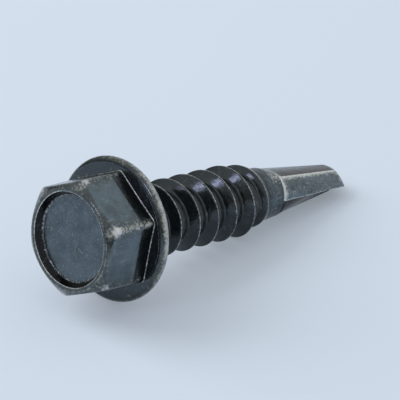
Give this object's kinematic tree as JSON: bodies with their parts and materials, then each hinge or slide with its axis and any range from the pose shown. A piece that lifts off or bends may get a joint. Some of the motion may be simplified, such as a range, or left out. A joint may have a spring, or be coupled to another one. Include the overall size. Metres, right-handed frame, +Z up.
{
  "type": "sheet metal screw",
  "caption": "Self-drilling sheet metal screw with a recessed hexagon washer head, coarse right-hand thread and fluted drill point, black oxide steel.",
  "frame": {"origin": "middle of the footprint, on the surface that the screw lies on", "axes": "+Z up; +X from the head to the tip, level with the ground; the screw's own axis leans down towards the tip by about 11 degrees"},
  "size_m": [0.0288, 0.0106, 0.0103],
  "materials": {
    "black_oxide_steel": "black oxide over cold-formed carbon steel, satin, worn to grey on the edges"
  },
  "bodies": {
    "root": {"screw": "black_oxide_steel"}
  },
  "joints": []
}
